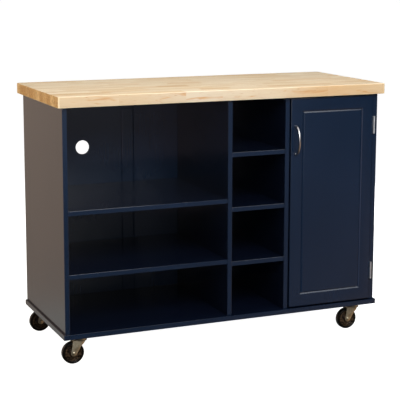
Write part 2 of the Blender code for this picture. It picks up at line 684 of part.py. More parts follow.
def make_caster_plate(label, x, y):
    """The top plate, with the upper race and the kingpin under it."""
    top = BASE_BOTTOM - FIT_GAP
    under = top - PLATE_THICKNESS
    middle = (top + under) / 2
    plate = box(f"caster_{label}_plate", (PLATE_SIZE, PLATE_SIZE, PLATE_THICKNESS), "zinc_plate",
                PLATE_CORNER_RADIUS)
    attach(plate, CART, (x, y, middle))
    race_bottom = FORK_TOP + RACE_GAP
    head_top = FORK_TOP - FORK_DISC_THICKNESS - FIT_GAP
    head_bottom = head_top - KINGPIN_HEAD_HEIGHT
    profile = [(0, under + JOIN_REACH), (RACE_TOP_RADIUS, under + JOIN_REACH), (RACE_TOP_RADIUS, under),
               (RACE_RADIUS, under - RACE_DEPTH), (RACE_RADIUS, race_bottom), (KINGPIN_RADIUS, race_bottom),
               (KINGPIN_RADIUS, head_top), (KINGPIN_HEAD_RADIUS, head_top),
               (KINGPIN_HEAD_RADIUS - HEAD_CHAMFER, head_bottom), (0, head_bottom)]
    fuse(plate, turned(f"caster_{label}_kingpin", profile, None, CASTER_SEGMENTS), (x, y, 0))
    for side_x in (-1, 1):
        for side_y in (-1, 1):
            hole = rod(f"caster_{label}_plate_hole_{side_x}_{side_y}", PLATE_HOLE_RADIUS,
                       PLATE_THICKNESS + 2 * CUTTER_REACH, segments=PLATE_HOLE_SEGMENTS)
            cut(plate, hole, (x + side_x * PLATE_HOLE_OFFSET, y + side_y * PLATE_HOLE_OFFSET, middle))


def make_fork(label, x, y, swivel):
    """A pressed fork: a crown and a disc that turn under the race, two legs, and a half-round web."""
    outer = half_round(FORK_OUTSIDE, FORK_BACK - WHEEL_RADIUS)
    inner = half_round(FORK_INSIDE, FORK_BACK - WHEEL_RADIUS)
    crown_z = FORK_TOP - FORK_DISC_THICKNESS / 2
    fork = extruded(f"caster_{label}_fork", outer + inner[::-1], crown_z, "zinc_plate")
    attach(fork, swivel, (x, y, crown_z / 2))
    side = extruded(f"caster_{label}_fork_side", fork_side_outline(), 2 * (FORK_OUTSIDE + CUTTER_REACH))
    trim(fork, side, (x, y, 0), UPRIGHT)
    crown = extruded(f"caster_{label}_crown", half_round(FORK_OUTSIDE, FORK_BACK), FORK_DISC_THICKNESS)
    fuse(fork, crown, (x, y, crown_z))
    disc = rod(f"caster_{label}_disc", FORK_DISC_RADIUS, FORK_DISC_THICKNESS, segments=CASTER_SEGMENTS)
    fuse(fork, disc, (x, y, crown_z))
    kingpin_hole = rod(f"caster_{label}_kingpin_hole", KINGPIN_HOLE_RADIUS,
                       FORK_DISC_THICKNESS + 2 * CUTTER_REACH)
    cut(fork, kingpin_hole, (x, y, crown_z))
    axle_hole = rod(f"caster_{label}_axle_hole", AXLE_HOLE_RADIUS, 2 * (FORK_OUTSIDE + CUTTER_REACH))
    cut(fork, axle_hole, (x - WHEEL_TRAIL, y, WHEEL_RADIUS), ALONG_Y)


def make_axle(label, place, swivel):
    """An axle bolt with a head outside each leg."""
    head_at = FORK_OUTSIDE + FIT_GAP
    head_end = head_at + AXLE_HEAD_HEIGHT
    half_profile = [(0, head_end), (AXLE_HEAD_RADIUS - HEAD_CHAMFER, head_end),
                    (AXLE_HEAD_RADIUS, head_end - HEAD_CHAMFER), (AXLE_HEAD_RADIUS, head_at),
                    (AXLE_RADIUS, head_at)]
    axle = turned(f"caster_{label}_axle", mirrored(half_profile), "zinc_plate", SMALL_SEGMENTS)
    attach(axle, swivel, place)
    axle.rotation_euler = ALONG_Y


def make_wheel(label, place, roll):
    """A moulded hub with a recessed web, and the tyre on it."""
    half = HUB_WIDTH / 2
    rim = TYRE_INNER_RADIUS - FIT_GAP
    web = half - HUB_WEB_RECESS
    rim_inside = rim - HUB_RIM_WIDTH
    boss_end = half + HUB_BOSS_STEP
    half_profile = [(HUB_BORE, boss_end), (HUB_BOSS_RADIUS, boss_end), (HUB_BOSS_RADIUS + HUB_DRAFT, web),
                    (rim_inside - HUB_DRAFT, web), (rim_inside, half), (rim, half)]
    profile = mirrored(half_profile)
    hub = turned(f"caster_{label}_wheel_hub", profile, "wheel_hub", CASTER_SEGMENTS, bored=True)
    edge = TYRE_WIDTH / 2
    chamfer = TYRE_SHOULDER / 3
    half_profile = [(TYRE_INNER_RADIUS, edge), (WHEEL_RADIUS - TYRE_SHOULDER, edge),
                    (WHEEL_RADIUS - chamfer, edge - chamfer), (WHEEL_RADIUS, edge - TYRE_SHOULDER)]
    profile = mirrored(half_profile)
    tyre = turned(f"caster_{label}_tyre", profile, "tyre_rubber", ROUND_SEGMENTS, bored=True)
    for piece in (hub, tyre):
        attach(piece, roll, place)
        piece.rotation_euler = ALONG_Y


clear_scene()
PARTS = new_collection("kitchen_island_cart")
CUTTERS = new_collection("cutters")
MATERIALS = {name: new_material(name, *look) for name, look in COLOURS.items()}
CART = new_empty("island_cart", (0, 0, 0))
CART.location = (0, FRAME_SHIFT_Y, 0)
DOOR = new_empty("door_hinge_axis", (HINGE_X, HINGE_Y, 0), CART)

make_worktop()
make_base()
right_side, cupboard_divider = make_uprights()
make_back()
make_shelves()
make_shelf_pins(right_side, cupboard_divider)
left_stile = make_door()
door_pull = make_pull()
make_pull_screws(door_pull, left_stile)
make_hinges()
make_catch()
for row, caster_y in (("front", -CASTER_Y), ("rear", CASTER_Y)):
    for hand, caster_x in (("left", -CASTER_X), ("right", CASTER_X)):
        make_caster(f"{row}_{hand}", caster_x, caster_y)
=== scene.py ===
"""Looks of the kitchen island cart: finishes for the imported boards, and finer pieces for its top, door,
pull, hinges, catch, casters and screws, under soft studio light. Metres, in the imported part's own frame."""
import json
import math

import bmesh
import bpy
from mathutils import Matrix, Vector
from mathutils.geometry import interpolate_bezier


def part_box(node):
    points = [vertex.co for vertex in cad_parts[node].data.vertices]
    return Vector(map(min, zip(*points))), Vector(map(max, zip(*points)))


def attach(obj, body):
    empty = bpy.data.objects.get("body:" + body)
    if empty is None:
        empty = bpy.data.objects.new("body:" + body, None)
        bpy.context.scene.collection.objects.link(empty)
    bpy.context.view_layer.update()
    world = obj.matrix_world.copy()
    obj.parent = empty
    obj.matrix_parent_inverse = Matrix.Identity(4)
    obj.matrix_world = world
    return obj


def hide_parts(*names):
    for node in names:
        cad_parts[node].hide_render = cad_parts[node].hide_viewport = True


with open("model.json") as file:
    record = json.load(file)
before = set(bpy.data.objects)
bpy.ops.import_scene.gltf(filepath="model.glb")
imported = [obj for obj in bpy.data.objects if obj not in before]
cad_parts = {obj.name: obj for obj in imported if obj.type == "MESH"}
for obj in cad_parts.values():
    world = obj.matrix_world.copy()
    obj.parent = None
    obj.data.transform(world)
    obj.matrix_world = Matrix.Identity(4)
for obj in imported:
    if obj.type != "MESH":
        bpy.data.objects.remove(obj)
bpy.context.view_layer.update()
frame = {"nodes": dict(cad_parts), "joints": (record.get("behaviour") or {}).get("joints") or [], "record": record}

NODES = frame["nodes"]
BODY_OF = {node: body for body, nodes in frame["record"]["behaviour"]["bodies"].items() for node in nodes}
JOINTS = {joint["name"]: joint for joint in frame["joints"]}
CASTERS = ("front_left", "front_right", "rear_left", "rear_right")

# Edges and corners
BOARD_ARRIS = 0.0009
BACK_ARRIS = 0.0018           # on the back's sheets and stiles, whose seams show inside the open bays
WORKTOP_CORNER = 0.008
WORKTOP_ARRIS = 0.0032
ARC_STEPS = 5                 # in a small quarter round

# Worktop pattern
STAVES = 12
BLOCK_LENGTH = 0.155
BLOCK_SWING = 0.32            # of a block's length, by which the blocks differ in length
FINGER_PITCH = 0.005
FINGER_LENGTH = 0.009
RING_PITCH = 1500.0           # growth rings in the end grain, in radians per metre

# Door
DOOR_MEMBERS = ("door_stile_left", "door_stile_right", "door_rail_bottom", "door_rail_top")
DOOR_ARRIS = 0.0015
GROOVE_CHAMFER = 0.0042       # from the groove's bottom out to the flat face
GROOVE_FALL = 0.0026
GROOVE_FOOT = 0.0015          # of the frame's edge below the groove's bottom
GROOVE_GAP = 0.0001           # on the frame's side of the groove's bottom
GROOVE_LIP = 0.0006           # radius of the groove's two lips
PANEL_GAP = 0.0002

# Door pull
PULL_STEPS = 48
PULL_SIDES = 20
PULL_APEX_DEPTH = 0.0027      # from the bow's front to its centreline

# Screw heads: radius and height
BACK_SCREW = (0.0035, 0.0018)
BACK_RAIL_SCREWS = 5
BACK_SCREW_MARGIN = 0.022     # from the rail's end
STILE_SCREW_MARGIN = 0.020    # from a stile's end
HINGE_SCREW = (0.0029, 0.00032)
HINGE_SCREW_SPACING = 0.0205
CASTER_SCREW = (0.0042, 0.0020)

# Hinges
LEAF_CORNER = 0.003
LEAF_THICKNESS = 0.0012
LEAF_CLEARANCE = 0.0004       # between the knuckles and the wide part of a leaf
KNUCKLE_BORE = 0.00185
KNUCKLE_ROOT = 0.0005         # by which a knuckle's strip laps the wide part of the leaf
KNUCKLE_GAP = 0.0002
KNUCKLE_ARRIS = 0.0003
PIN_ARRIS = 0.0004

# Magnetic catch
CATCH_CORNER = 0.0025
CATCH_ARRIS = 0.0006
POLE_PROUD = 0.0012           # by which the pole plates stand out of the case
POLE_SIZE = (0.0016, 0.62)    # thickness, and height as a share of the case's
POLE_DEPTH = 0.004
POLE_CORNER = 0.0006
POLE_OFFSET = 0.2             # from the middle, as a share of the case's width

# Casters
PLATE_THICKNESS = 0.0025
PLATE_CORNER = 0.006
PLATE_ARRIS = 0.0006
PLATE_SCREW_OFFSET = 0.0230
RACE_GAP = 0.0005             # between the plate's race and the fork's crown under it
CROWN_THICKNESS = 0.0028
CROWN_RADIUS = 0.0205
CROWN_ARRIS = 0.0008
KINGPIN_HOLE = 0.0043
FORK_SHEET = 0.0025
FORK_INSIDE = 0.0125
FORK_OUTSIDE = FORK_INSIDE + FORK_SHEET
FORK_BACK = -0.0305
FORK_CORNER = (-0.0015, 0.0617)
FORK_WEB_FOOT = 0.0765
FORK_EYE = 0.0098
FORK_ARRIS = 0.0007
EYE_STEPS = 24
WEB_STEPS = 20
AXLE_RADIUS = 0.0031
HUB_BORE = 0.0034
TYRE_SHOULDER = 0.0042
TYRE_CROWN = 0.0003           # by which the tread is domed

# Softboxes: name, place, target, size, watts, colour, and whether glossy surfaces show them
WHITE = (1.0, 1.0, 1.0)
SOFTBOXES = (
    ("key_softbox", (-0.3, -2.9, 2.4), (0, 0, 0.45), (2.6, 1.6), 88.0, WHITE, True),
    ("front_softbox", (-0.3, -3.6, 1.1), (0, 0, 0.45), (2.0, 0.9), 10.0, WHITE, True),
    ("overhead_softbox", (-0.25, -0.2, 2.8), (-0.25, -0.1, 0), (2.6, 1.5), 30.0, WHITE, True),
    ("groove_softbox", (1.65, -2.2, 2.75), (0.4, -0.2, 0.8), (1.1, 2.0), 23.0, WHITE, True),
    ("rear_softbox", (1.9, 2.4, 0.8), (0.3, 0.2, 0.5), (1.8, 1.2), 60.0, WHITE, False),
    ("left_softbox", (-2.6, 0.3, 0.75), (0, 0.3, 0.6), (2.4, 1.3), 27.0, (1.0, 0.93, 0.58), False),
)

FLOOR_RADIUS = 60.0
FLOOR_GLOW = 0.97             # of white, seen by the camera only

# What surfaces see of the room: a dim base, and glows. A glow has its direction, its sharpness, its colour,
# and where it has a fade, the heights of the direction at which it starts and is full.
WORLD_BASE = (0.025, 0.03, 0.03)
WORLD_GLOWS = (
    ((-0.55, 0.83, 0.05), 8.0, (0.86, 0.64, 0.50), None),                      # behind, on the left
    ((-0.40, 0.87, -0.30), 12.0, (0.07, 0.17, 0.21), (-0.262, -0.285)),        # the same, low down
    ((-0.338, -0.927, -0.16), 160.0, (2.3, 1.95, 2.3), None),                  # in front, on the left
    ((0.35, -0.93, -0.11), 80.0, (0.29, 0.27, 0.32), (-0.225, -0.175)),        # in front, on the right
    ((0.74, -0.52, -0.42), 14.0, (1.0, 0.64, 0.40), (-0.12, -0.25)),           # the same, low down
    ((0.62, 0.76, -0.18), 6.0, (0.13, 0.14, 0.16), None),                      # behind, on the right
)

# Camera: the photograph's viewing angle
LENS_MM = 110.8
SENSOR_MM = 36.0
SHIFT_Y = -0.10
CAMERA_PLACE = (-1.7042, -3.9653, 1.3192)
CAMERA_YAW = 0.4041
CAMERA_PITCH = -0.1603
CAMERA_ROLL = 0.0022


def srgb(red, green, blue):
    """A linear colour from 0 to 255 screen values."""
    def linear(value):
        value /= 255
        return value / 12.92 if value <= 0.04045 else ((value + 0.055) / 1.055) ** 2.4
    return (linear(red), linear(green), linear(blue), 1.0)


# ---- Material nodes ----

class Nodes:
    """Short calls for the nodes of one node tree."""

    def __init__(self, tree):
        self.tree = tree
        self.place = self.new("TexCoord")

    def new(self, kind, **settings):
        node = self.tree.nodes.new("ShaderNode" + kind)
        for setting, value in settings.items():
            setattr(node, setting, value)
        return node

    def feed(self, socket, value):
        """Links a node's output to a socket, or sets the socket to a plain value."""
        if isinstance(value, bpy.types.NodeSocket):
            self.tree.links.new(value, socket)
        else:
            socket.default_value = value

    def feed_all(self, node, values):
        """Feeds a node's inputs in their order, and returns its first output."""
        for socket, value in zip(node.inputs, values):
            self.feed(socket, value)
        return node.outputs[0]

    def math(self, operation, *values):
        return self.feed_all(self.new("Math", operation=operation), values)

    def vector(self, operation, *values):
        return self.feed_all(self.new("VectorMath", operation=operation), values)

    def facing(self, place, direction):
        """The cosine of the angle between a place's direction and another direction."""
        node = self.new("VectorMath", operation="DOT_PRODUCT")
        self.feed_all(node, (place, Vector(direction).normalized()))
        return node.outputs["Value"]

    def split(self, vector):
        node = self.new("SeparateXYZ")
        self.feed(node.inputs[0], vector)
        return node.outputs

    def join(self, x, y, z):
        return self.feed_all(self.new("CombineXYZ"), (x, y, z))

    def scaled(self, vector, scale):
        return self.vector("MULTIPLY", vector, scale)

    def step(self, value, low, high, start=0.0, end=1.0):
        """A smooth step from start to end as value goes from low to high."""
        node = self.new("MapRange", interpolation_type="SMOOTHSTEP")
        return self.feed_all(node, (value, low, high, start, end))


class Finish(Nodes):
    """One procedural material, with short calls for its textures and its shader."""

    def __init__(self, name):
        self.material = bpy.data.materials.new(name)
        self.material.use_nodes = True
        self.shader = self.material.node_tree.nodes["Principled BSDF"]
        super().__init__(self.material.node_tree)

    def noise(self, vector, scale=1.0, detail=2.0, roughness=0.5, distortion=0.0):
        node = self.new("TexNoise")
        for name, value in (("Vector", vector), ("Scale", scale), ("Detail", detail),
                            ("Roughness", roughness), ("Distortion", distortion)):
            self.feed(node.inputs[name], value)
        return node.outputs["Fac"]

    def random(self, vector):
        """A random number and a random colour for each value of the vector."""
        node = self.new("TexWhiteNoise", noise_dimensions="3D")
        self.feed(node.inputs["Vector"], vector)
        return node.outputs["Value"], node.outputs["Color"]

    def ramp(self, value, *stops):
        """A colour ramp. Each stop is (position, colour)."""
        node = self.new("ValToRGB")
        self.feed(node.inputs[0], value)
        elements = node.color_ramp.elements
        while len(elements) < len(stops):
            elements.new(1.0)
        for element, (position, colour) in zip(elements, stops):
            element.position = position
            element.color = colour
        return node.outputs[0]

    def mix(self, share, first, second, blend="MIX"):
        node = self.new("Mix", data_type="RGBA", blend_type=blend)
        for name, value in (("Factor", share), ("A", first), ("B", second)):
            sockets = [s for s in node.inputs if s.name == name and s.enabled]
            self.feed(sockets[0], value)
        return [s for s in node.outputs if s.enabled][0]

    def tinted(self, colour, pattern, span, most, tint, mask=None):
        """The colour with a tint laid over it, up to a share of most, as pattern crosses the span."""
        share = self.step(pattern, *span, 0.0, most)
        if mask is not None:
            share = self.math("MULTIPLY", share, mask)
        return self.mix(share, colour, tint)

    def bump(self, height, strength, distance, under=None):
        node = self.new("Bump")
        node.inputs["Strength"].default_value = strength
        node.inputs["Distance"].default_value = distance
        self.feed(node.inputs["Height"], height)
        if under is not None:
            self.feed(node.inputs["Normal"], under)
        return node.outputs[0]

    def set(self, **sockets):
        """Sets or links the shader's sockets. Underscores stand for spaces."""
        for name, value in sockets.items():
            self.feed(self.shader.inputs[name.replace("_", " ")], value)
        return self.material


def stave_layout(wood, place):
    """A point's place across the staves, its place along them in blocks, its block's random tone, and the
    point shifted at random for each block."""
    low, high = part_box("worktop")
    x, y, _ = wood.split(place)
    from_edge = wood.math("SUBTRACT", y, low.y - 1e-5)
    across = wood.math("DIVIDE", from_edge, (high.y - low.y) / STAVES)
    row = wood.math("FLOOR", across)
    phase, _ = wood.random(wood.join(row, 3.7, 1.3))
    fingers = wood.math("PINGPONG", y, FINGER_PITCH / 2)
    toothed = wood.math("MULTIPLY_ADD", fingers, 2 * FINGER_LENGTH / FINGER_PITCH, x)
    swing = wood.math("SINE", wood.math("MULTIPLY_ADD", x, 9.0, wood.math("MULTIPLY", phase, 40.0)))
    along = wood.math("DIVIDE", toothed, BLOCK_LENGTH)
    along = wood.math("MULTIPLY_ADD", swing, BLOCK_SWING, along)
    along = wood.math("MULTIPLY_ADD", phase, 17.0, along)
    block = wood.math("FLOOR", along)
    tone, shuffle = wood.random(wood.join(row, block, 0.5))
    shifted = wood.vector("ADD", place, wood.scaled(shuffle, (7.0, 7.0, 7.0)))
    return across, along, tone, shifted


def long_grain(wood, tone, shifted, streaks):
    """Colour of the faces along the staves: pale blocks, brown streaks, fine fibres and pale patches."""
    colour = wood.ramp(tone, (0.0, srgb(230, 208, 174)), (0.3, srgb(237, 219, 190)),
                       (0.62, srgb(225, 201, 165)), (0.86, srgb(232, 205, 166)), (1.0, srgb(214, 180, 136)))
    colour = wood.tinted(colour, streaks, (0.42, 0.70), 0.50, srgb(208, 168, 118))
    fibres = wood.noise(wood.scaled(shifted, (16.0, 280.0, 280.0)), 1.0, 3.0, 0.6, 0.2)
    colour = wood.tinted(colour, fibres, (0.42, 0.68), 0.48, srgb(200, 160, 112))
    pale = wood.noise(wood.scaled(shifted, (2.2, 30.0, 30.0)), 1.0, 3.0, 0.5)
    return wood.tinted(colour, pale, (0.42, 0.72), 0.6, srgb(246, 232, 208))


def edge_grain_and_painted_light(wood, colour, place, shifted, face_y):
    """The front and rear edges: painted light makes them paler than the top, with a tone that also varies along
    their length, and with flames and darker flecks.
    """
    low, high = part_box("worktop")
    on_edge = wood.step(wood.math("ABSOLUTE", face_y), 0.6, 0.9)
    length = wood.step(wood.split(place)[0], low.x, high.x)
    # Painted light: the edges are mixed up to 0.6 towards these pale tones, which also vary along the length.
    tone = wood.ramp(length, (0.0, srgb(252, 230, 190)), (0.35, srgb(255, 252, 232)),
                     (0.72, srgb(255, 244, 214)), (0.92, srgb(242, 200, 142)), (1.0, srgb(244, 216, 168)))
    colour = wood.mix(wood.math("MULTIPLY", on_edge, 0.6), colour, tone)
    flames = wood.noise(wood.scaled(shifted, (9.0, 40.0, 70.0)), 1.0, 4.0, 0.55, 0.8)
    colour = wood.tinted(colour, flames, (0.55, 0.72), 0.80, srgb(224, 166, 104), on_edge)
    flecks = wood.noise(wood.scaled(shifted, (34.0, 160.0, 240.0)), 1.0, 3.0, 0.5, 0.4)
    return wood.tinted(colour, flecks, (0.62, 0.78), 0.75, srgb(186, 116, 62), on_edge)


def end_grain(wood, tone, place, shifted, pores):
    """The two ends: growth rings, pores, a tone for each block, and a mottle."""
    _, y, z = wood.split(place)
    height = wood.math("MULTIPLY_ADD", y, 0.55, z)
    warp = wood.noise(wood.scaled(shifted, (30.0, 30.0, 30.0)), 1.0, 3.0, 0.5)
    turns = wood.math("MULTIPLY_ADD", height, RING_PITCH, wood.math("MULTIPLY", warp, 22.0))
    rings = wood.math("SINE", turns)
    colour = wood.tinted(srgb(212, 166, 112), rings, (-0.6, 1.0), 0.6, srgb(168, 114, 64))
    colour = wood.tinted(colour, pores, (0.45, 0.7), 0.45, srgb(140, 88, 48))
    colour = wood.tinted(colour, tone, (0.1, 0.9), 0.55, srgb(244, 210, 164))
    mottle = wood.noise(wood.scaled(place, (1.0, 190.0, 120.0)), 1.0, 3.0, 0.6, 0.6)
    return wood.tinted(colour, mottle, (0.46, 0.62), 0.60, srgb(150, 92, 46))


def butcher_block():
    """Light staves along X, each of finger-jointed lengths, with glue lines between them."""
    wood = Finish("butcher_block")
    place = wood.place.outputs["Object"]
    face_x, face_y, _ = wood.split(wood.place.outputs["Normal"])
    across, along, tone, shifted = stave_layout(wood, place)
    streaks = wood.noise(wood.scaled(shifted, (5.0, 95.0, 95.0)), 1.0, 5.0, 0.62, 0.35)
    pores = wood.noise(wood.scaled(shifted, (900.0, 900.0, 900.0)), 1.0, 2.0, 0.6)
    on_end = wood.step(wood.math("ABSOLUTE", face_x), 0.62, 0.9)
    colour = long_grain(wood, tone, shifted, streaks)
    colour = edge_grain_and_painted_light(wood, colour, place, shifted, face_y)
    colour = wood.mix(on_end, colour, end_grain(wood, tone, place, shifted, pores))

    seam_line = wood.step(wood.math("PINGPONG", across, 0.5), 0.0, 0.014, 0.42, 0.0)
    joint_line = wood.step(wood.math("PINGPONG", along, 0.5), 0.0, 0.004, 0.34, 0.0)
    joint_line = wood.math("MULTIPLY", joint_line, wood.math("SUBTRACT", 1.0, on_end))
    colour = wood.mix(wood.math("MAXIMUM", seam_line, joint_line), colour, srgb(150, 104, 62))

    surface = wood.bump(streaks, 0.10, 0.0004)
    surface = wood.bump(pores, 0.05, 0.0002, surface)
    return wood.set(Base_Color=colour, Roughness=wood.step(streaks, 0.3, 0.75, 0.46, 0.60), Normal=surface,
                    Specular_IOR_Level=0.25, Coat_Weight=0.05, Coat_Roughness=0.3)


def navy_paint(name, grain_axis):
    """Satin navy over board. The grain below shows faintly along grain_axis (0 for X, 2 for Z). Faces that look up
    or to the side get painted shade: their colour is mixed towards a darker, less blue tone in place of the light
    they miss."""
    paint = Finish(name)
    place = paint.place.outputs["Object"]
    stretch = [420.0, 420.0, 420.0]
    stretch[grain_axis] = 7.0
    grain = paint.noise(paint.scaled(place, tuple(stretch)), 1.0, 4.0, 0.6, 0.2)
    clouds = paint.noise(place, 3.5, 3.0, 0.5)
    peel = paint.noise(place, 620.0, 2.0, 0.5)
    colour = paint.ramp(clouds, (0.25, srgb(6, 26, 48)), (0.75, srgb(9, 30, 54)))
    colour = paint.tinted(colour, grain, (0.4, 0.75), 0.11, srgb(8, 19, 37))
    facing = paint.split(paint.place.outputs["Normal"])
    painted_shade_up = paint.step(facing[2], 0.6, 0.9, 0.0, 0.7)
    painted_shade_side = paint.step(paint.math("ABSOLUTE", facing[0]), 0.6, 0.9, 0.0, 0.7)
    # Painted shade: faces that look up or to the side are mixed towards a darker, less blue colour.
    colour = paint.mix(paint.math("MAXIMUM", painted_shade_up, painted_shade_side), colour, srgb(12, 12, 25))
    roughness = paint.math("MULTIPLY_ADD", grain, 0.05, paint.step(clouds, 0.2, 0.8, 0.20, 0.24))
    surface = paint.bump(grain, 0.011, 0.0003)
    surface = paint.bump(peel, 0.05, 0.0003, surface)
    return paint.set(Base_Color=colour, Roughness=roughness, Normal=surface, IOR=1.45,
                     Coat_Weight=0.30, Coat_Roughness=0.07)


def plated_metal(name, light, dark, brush_scale, roughness, mottle=0.5):
    """Plated metal: brushed or mottled between two tones, with brush_scale the stretch of its marks."""
    metal = Finish(name)
    place = metal.place.outputs["Object"]
    marks = metal.noise(metal.scaled(place, brush_scale), 1.0, 4.0, 0.6)
    blotches = metal.noise(place, 95.0, 3.0, 0.55)
    share = metal.math("MULTIPLY_ADD", blotches, mottle, metal.math("MULTIPLY", marks, 1.0 - mottle))
    colour = metal.ramp(share, (0.30, dark), (0.68, light))
    finish = metal.math("MULTIPLY_ADD", marks, 0.16, roughness - 0.08)
    surface = metal.bump(marks, 0.12, 0.0002)
    return metal.set(Base_Color=colour, Metallic=1.0, Roughness=finish, Normal=surface)


def moulded(name, light, dark, roughness, grit=0.25, shine=0.5):
    """Moulded plastic or rubber: two close tones in soft blotches, with a fine grit."""
    plastic = Finish(name)
    place = plastic.place.outputs["Object"]
    blotches = plastic.noise(place, 190.0, 4.0, 0.6, 0.4)
    fine = plastic.noise(place, 1500.0, 2.0, 0.5)
    colour = plastic.ramp(blotches, (0.44, dark), (0.62, light))
    finish = plastic.math("MULTIPLY_ADD", blotches, 0.18, roughness - 0.09)
    return plastic.set(Base_Color=colour, Roughness=finish, Normal=plastic.bump(fine, grit, 0.0002),
                       Specular_IOR_Level=shine)


def shadowed_recess():
    """Painted shade: the inside of a screw's cross recess, coloured dark in place of the shadow in the hollow."""
    recess = Finish("screw_recess_painted_shade")
    shade = recess.noise(recess.place.outputs["Object"], 800.0)
    colour = recess.ramp(shade, (0.3, srgb(48, 46, 42)), (0.7, srgb(78, 75, 70)))
    return recess.set(Base_Color=colour, Metallic=1.0, Roughness=0.6)


def studio_floor():
    """A pale matt floor. It is lit up a little for the camera only, so that it runs into the background."""
    floor = Finish("studio_floor")
    cloud = floor.noise(floor.place.outputs["Object"], 1.3, 3.0, 0.5)
    colour = floor.ramp(cloud, (0.2, srgb(206, 205, 203)), (0.8, srgb(212, 211, 209)))
    seen = floor.new("LightPath").outputs["Is Camera Ray"]
    return floor.set(Base_Color=colour, Roughness=0.9, Emission_Color=(1.0, 1.0, 1.0, 1.0),
                     Emission_Strength=floor.math("MULTIPLY", seen, FLOOR_GLOW))


MATERIALS = {
    "butcher_block": butcher_block(),
    "navy_upright": navy_paint("navy_paint_upright", 2),
    "navy_level": navy_paint("navy_paint_level", 0),
    "satin_nickel": plated_metal("satin_nickel", srgb(212, 210, 210), srgb(176, 172, 170),
                                 (900.0, 900.0, 60.0), 0.29, 0.3),
    "hinge_steel": plated_metal("hinge_steel", srgb(246, 248, 250), srgb(222, 226, 230),
                                (700.0, 700.0, 90.0), 0.46, 0.5),
    "zinc_plate": plated_metal("zinc_plate", srgb(218, 210, 186), srgb(164, 150, 120),
                               (260.0, 260.0, 60.0), 0.44, 0.65),
    "catch_plastic": moulded("catch_plastic", srgb(226, 224, 216), srgb(214, 211, 202), 0.45),
    "wheel_hub": moulded("wheel_hub", srgb(72, 55, 39), srgb(4, 3, 2), 0.20, 0.20, 0.42),
    "tyre_rubber": moulded("tyre_rubber", srgb(16, 10, 6), srgb(4, 3, 2), 0.32, 0.4, 0.16),
    "screw_recess_painted_shade": shadowed_recess(),
    "studio_floor": studio_floor(),
}


# ---- Mesh work ----

def piece_from(name, shape, material, smooth_angle=35.0):
    """A new piece from a bmesh. Its outside is found again, and it is smooth up to smooth_angle."""
    bmesh.ops.recalc_face_normals(shape, faces=shape.faces)
    mesh = bpy.data.meshes.new(name)
    shape.to_mesh(mesh)
    shape.free()
    mesh.shade_smooth()
    mesh.set_sharp_from_angle(angle=math.radians(smooth_angle))
    mesh.materials.append(MATERIALS[material])
    piece = bpy.data.objects.new(name, mesh)
    bpy.context.scene.collection.objects.link(piece)
    return piece


def ring_of(shape, points):
    return [shape.verts.new(point) for point in points]


def bridge(shape, first, second):
    """Quads between two rings of as many points."""
    for count in range(len(first)):
        following = (count + 1) % len(first)
        shape.faces.new((first[count], first[following], second[following], second[count]))


def loft(shape, rings):
    """Bridges the rings in their order, and closes both ends."""
    for first, second in zip(rings, rings[1:]):
        bridge(shape, first, second)
    shape.faces.new(rings[0])
    shape.faces.new(rings[-1])


def lathe(shape, profile, matrix=None, segments=48, closed=False):
    """Turns a profile of (radius, height) about Z into shape. A radius of 0 makes a point on the axis."""
    matrix = matrix or Matrix.Identity(4)
    rings = []
    for radius, height in profile:
        if radius == 0:
            rings.append(ring_of(shape, [matrix @ Vector((0, 0, height))]))
            continue
        turns = [2 * math.pi * count / segments for count in range(segments)]
        circle = [matrix @ Vector((radius * math.cos(t), radius * math.sin(t), height)) for t in turns]
        rings.append(ring_of(shape, circle))
    pairs = list(zip(rings, rings[1:]))
    if closed:
        pairs.append((rings[-1], rings[0]))
    for first, second in pairs:
        if len(first) == 1 or len(second) == 1:
            tip, rim = (first, second) if len(first) == 1 else (second, first)
            for count in range(segments):
                shape.faces.new((tip[0], rim[count], rim[(count + 1) % segments]))
        else:
            bridge(shape, first, second)


def quarter(steps=ARC_STEPS):
    """Angles from 0 to a quarter turn."""
    return [math.pi / 2 * count / steps for count in range(steps + 1)]


def eased(radius, steps=ARC_STEPS):
    """(inset, depth) points of a quarter round that eases an outer edge."""
    return [(radius * (1 - math.sin(t)), radius * (1 - math.cos(t))) for t in quarter(steps)]


def mirrored(half_profile):
    """A profile's upper half and its mirror image below."""
    return half_profile + [(radius, -height) for radius, height in reversed(half_profile)]


def slab(shape, outline, low, high, matrix=None):
    """A flat outline in XY, from height low to height high."""
    matrix = matrix or Matrix.Identity(4)
    bottom = ring_of(shape, [matrix @ Vector((x, y, low)) for x, y in outline])
    top = ring_of(shape, [matrix @ Vector((x, y, high)) for x, y in outline])
    loft(shape, [bottom, top])


def rounded_rectangle(width, depth, radius, steps=6):
    """Points round a rectangle about the origin, with rounded corners."""
    points = []
    for corner in range(4):
        turn = math.pi / 2 * corner
        centre_x = math.copysign(width / 2 - radius, math.cos(turn + math.pi / 4))
        centre_y = math.copysign(depth / 2 - radius, math.sin(turn + math.pi / 4))
        angles = [turn + t for t in quarter(steps)]
        points += [(centre_x + radius * math.cos(t), centre_y + radius * math.sin(t)) for t in angles]
    return points


def bevelled(piece, width, segments=2, angle=40.0):
    """Rounds a piece's edges that are sharper than the angle."""
    bevel = piece.modifiers.new("arris", "BEVEL")
    bevel.width = width
    bevel.segments = segments
    bevel.limit_method = "ANGLE"
    bevel.angle_limit = math.radians(angle)
    bevel.use_clamp_overlap = True


def stands_for(piece, node):
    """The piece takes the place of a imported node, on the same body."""
    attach(piece, BODY_OF[node])
    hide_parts(node)


def turn_to(direction):
    """A matrix that turns Z to the direction."""
    return Vector(direction).to_track_quat("Z", "Y").to_matrix().to_4x4()


ALONG_Y = Matrix.Rotation(math.radians(90), 4, "X")    # lays a turned shape's axis along Y


